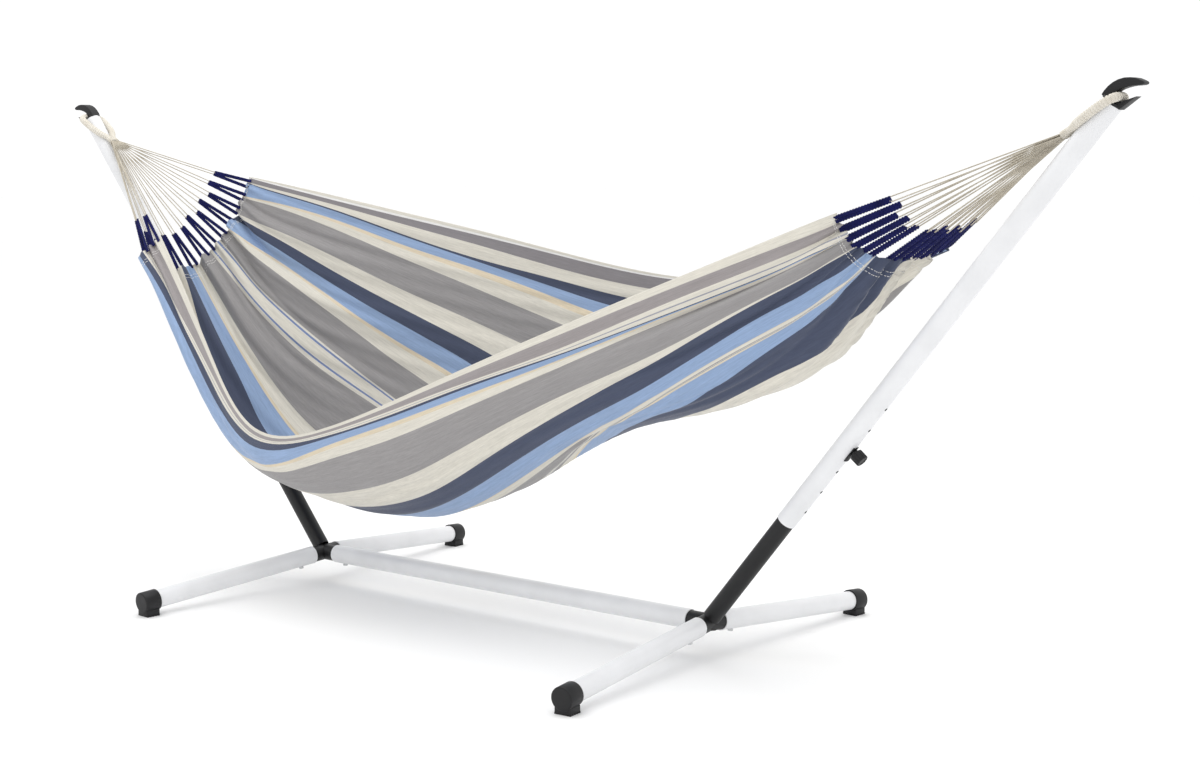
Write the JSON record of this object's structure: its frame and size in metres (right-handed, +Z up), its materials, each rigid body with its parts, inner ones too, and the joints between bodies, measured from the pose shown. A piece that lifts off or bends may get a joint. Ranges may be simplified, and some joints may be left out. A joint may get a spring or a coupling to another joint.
{
  "type": "hammock on stand",
  "caption": "Striped woven hammock hung between the two telescoping arms of a white steel tube stand with splayed feet",
  "frame": {"origin": "on the floor, midway between the arms and midway between the near and far feet, under the middle of the spine tube", "axes": "+X along the spine tube towards the right arm, +Y across the stand towards the far feet and the cloth's high far rim, +Z up"},
  "size_m": [3.605, 1.25, 1.3947],
  "materials": {
    "white_coat": "glossy",
    "black_coat": "satin",
    "black_plastic": "matte",
    "zinc_steel": "satin",
    "navy_braid": "matte",
    "cream_cord": "matte",
    "striped_cloth": "matte"
  },
  "bodies": {
    "base": {"spine_tube": "white_coat", "left_hub": "black_coat", "left_lower_arm": "black_coat", "left_hub_bolts": "zinc_steel", "left_near_foot_tube": "white_coat", "left_far_foot_tube": "white_coat", "left_near_foot_cap": "black_plastic", "left_far_foot_cap": "black_plastic", "right_hub": "black_coat", "right_lower_arm": "black_coat", "right_hub_bolts": "zinc_steel", "right_near_foot_tube": "white_coat", "right_far_foot_tube": "white_coat", "right_near_foot_cap": "black_plastic", "right_far_foot_cap": "black_plastic"},
    "left_arm": {"left_arm_tube": "white_coat", "left_saddle": "black_plastic", "left_hook": "black_plastic", "left_end_loop": "cream_cord", "left_seizing": "cream_cord"},
    "left_lock": {"left_lock_knob": "black_plastic", "left_lock_pin": "zinc_steel"},
    "left_clew": {"left_clew_cords": "cream_cord"},
    "right_arm": {"right_arm_tube": "white_coat", "right_saddle": "black_plastic", "right_hook": "black_plastic", "right_end_loop": "cream_cord", "right_seizing": "cream_cord"},
    "right_lock": {"right_lock_knob": "black_plastic", "right_lock_pin": "zinc_steel"},
    "right_clew": {"right_clew_cords": "cream_cord"},
    "hammock": {"hammock_cloth": "striped_cloth", "left_braids": "navy_braid"},
    "right_braid": {"right_braids": "navy_braid"}
  },
  "joints": [
    {"name": "height_left", "type": "slide", "parent": "base", "child": "left_arm", "axis": [-0.6347, 0, 0.7727], "range_m": [-0.068, 0.136]},
    {"name": "height_right", "type": "slide", "parent": "base", "child": "right_arm", "axis": [0.6347, 0, 0.7727], "range_m": [-0.068, 0.136]},
    {"name": "lock_left", "type": "slide", "parent": "left_arm", "child": "left_lock", "axis": [-0.7727, 0, -0.6347], "range_m": [0, 0.012]},
    {"name": "lock_right", "type": "slide", "parent": "right_arm", "child": "right_lock", "axis": [0.7727, 0, -0.6347], "range_m": [0, 0.012]},
    {"name": "swing", "type": "hinge", "parent": "left_arm", "child": "left_clew", "pos_m": [-1.61973, 0, 1.27653], "axis": [1, 0, 0], "range_deg": [-25, 25]},
    {"name": "swing_right", "type": "hinge", "parent": "right_arm", "child": "right_clew", "pos_m": [1.61973, 0, 1.27653], "axis": [1, 0, 0], "range_deg": [-25, 25]},
    {"name": "clew_left", "type": "slide", "parent": "left_clew", "child": "hammock", "axis": [1, 0, 0], "range_m": [-0.0435, 0.0865], "deforming": ["left_clew_cords"]},
    {"name": "clew_right", "type": "slide", "parent": "right_clew", "child": "right_braid", "axis": [-1, 0, 0], "range_m": [-0.0435, 0.0865], "deforming": ["right_clew_cords"]}
  ],
  "couplings": [
    {"joint": "height_right", "follows": "height_left", "ratio": 1},
    {"joint": "swing_right", "follows": "swing", "ratio": 1},
    {"joint": "clew_left", "follows": "height_left", "ratio": 0.63473},
    {"joint": "clew_right", "follows": "height_left", "ratio": 0.63473}
  ]
}
